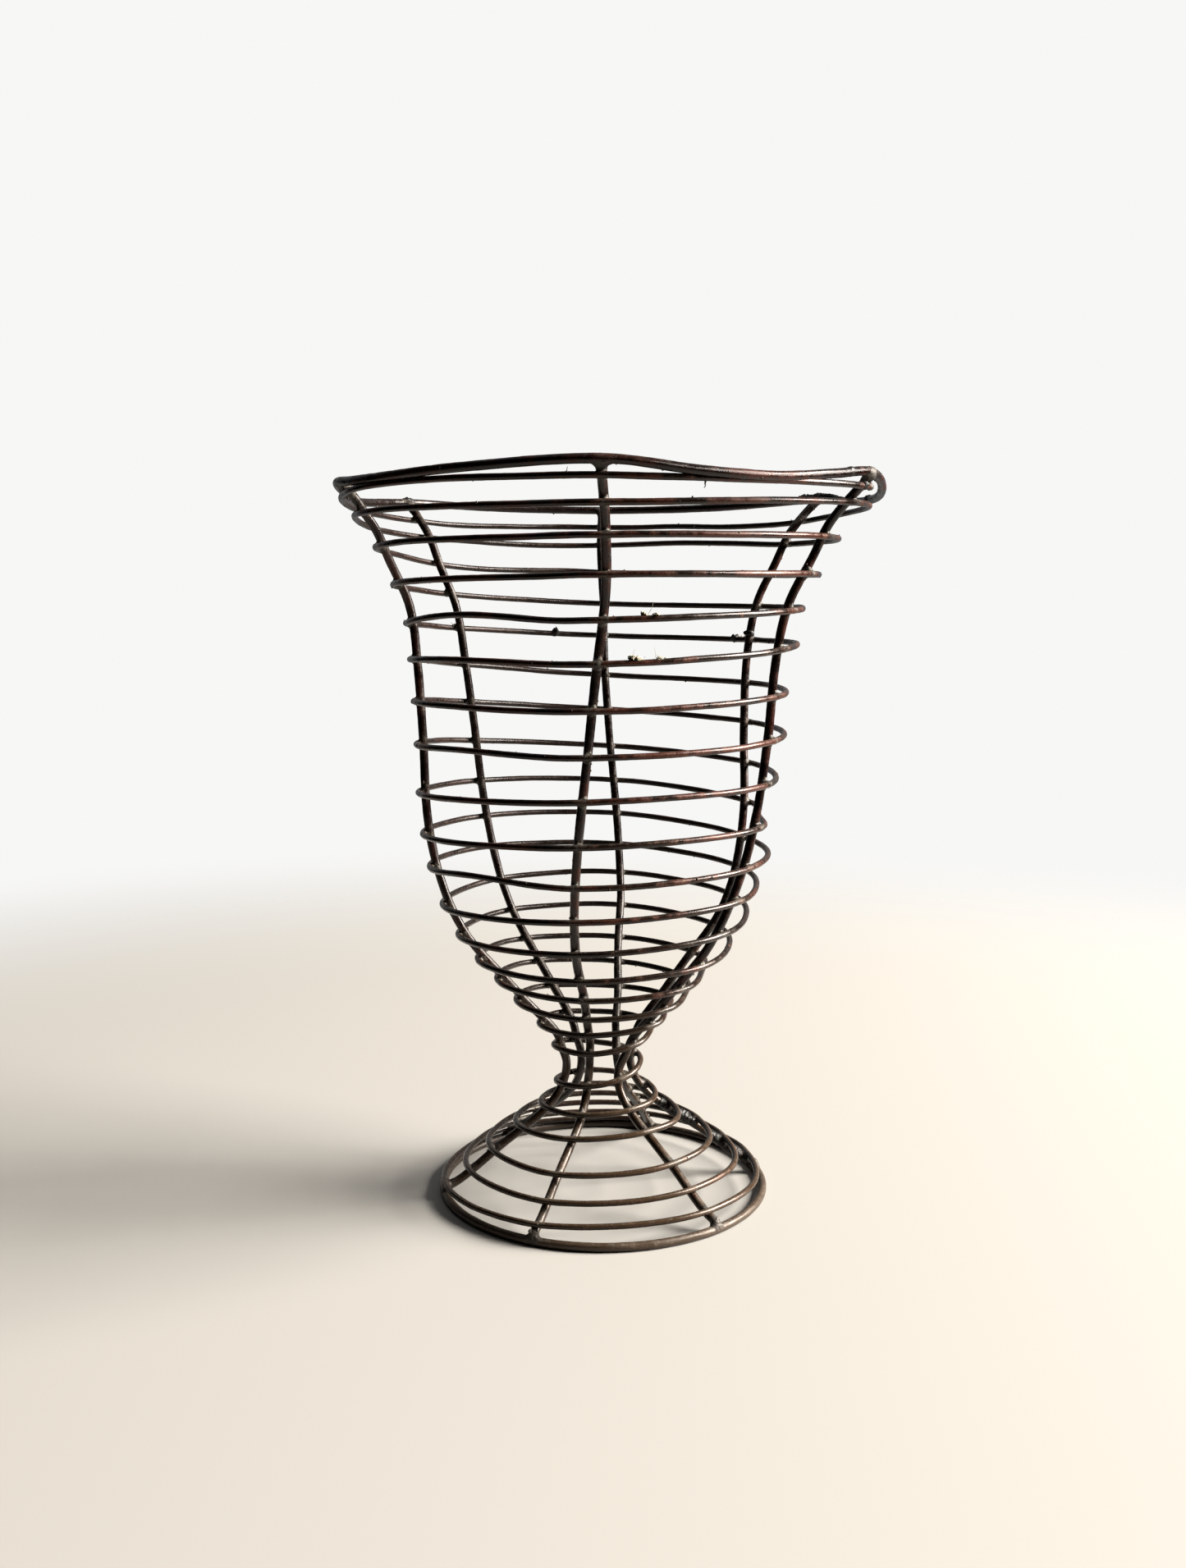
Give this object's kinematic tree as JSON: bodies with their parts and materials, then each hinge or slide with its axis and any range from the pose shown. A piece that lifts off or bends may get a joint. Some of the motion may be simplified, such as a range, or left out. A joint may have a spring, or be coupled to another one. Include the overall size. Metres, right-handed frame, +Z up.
{
  "type": "wire floral urn frame",
  "caption": "Urn-shaped frame for flower arranging: hand-bent ribs from rim to foot ring with one long wire wound round them and soldered at the crossings.",
  "frame": {"origin": "on the table, under the middle of the overall box; the base ring's centre is 3 mm to its left (-X)", "axes": "+Z up, -Y to the front, +X to the right, towards the loose curl of the rim"},
  "size_m": [0.1889, 0.1904, 0.254],
  "materials": {
    "heavy_wire": "dark brown oxidised wire with rusty tints, worn paler on edges",
    "spiral_wire": "dark brown oxidised wire, worn grey-tan on upper and right-hand faces",
    "solder": "rough dull grey-brown solder"
  },
  "bodies": {
    "root": {"rim_wire": "heavy_wire", "base_ring": "heavy_wire", "spiral_wire": "spiral_wire", "rib_front": "heavy_wire", "rib_front_left": "heavy_wire", "rib_back_left": "heavy_wire", "rib_back": "heavy_wire", "rib_back_right": "heavy_wire", "rib_front_right": "heavy_wire", "beads_front": "solder", "beads_front_left": "solder", "beads_back_left": "solder", "beads_back": "solder", "beads_back_right": "solder", "beads_front_right": "solder", "beads_rim": "solder", "beads_foot": "solder", "beads_spiral_ends": "solder"}
  },
  "joints": []
}
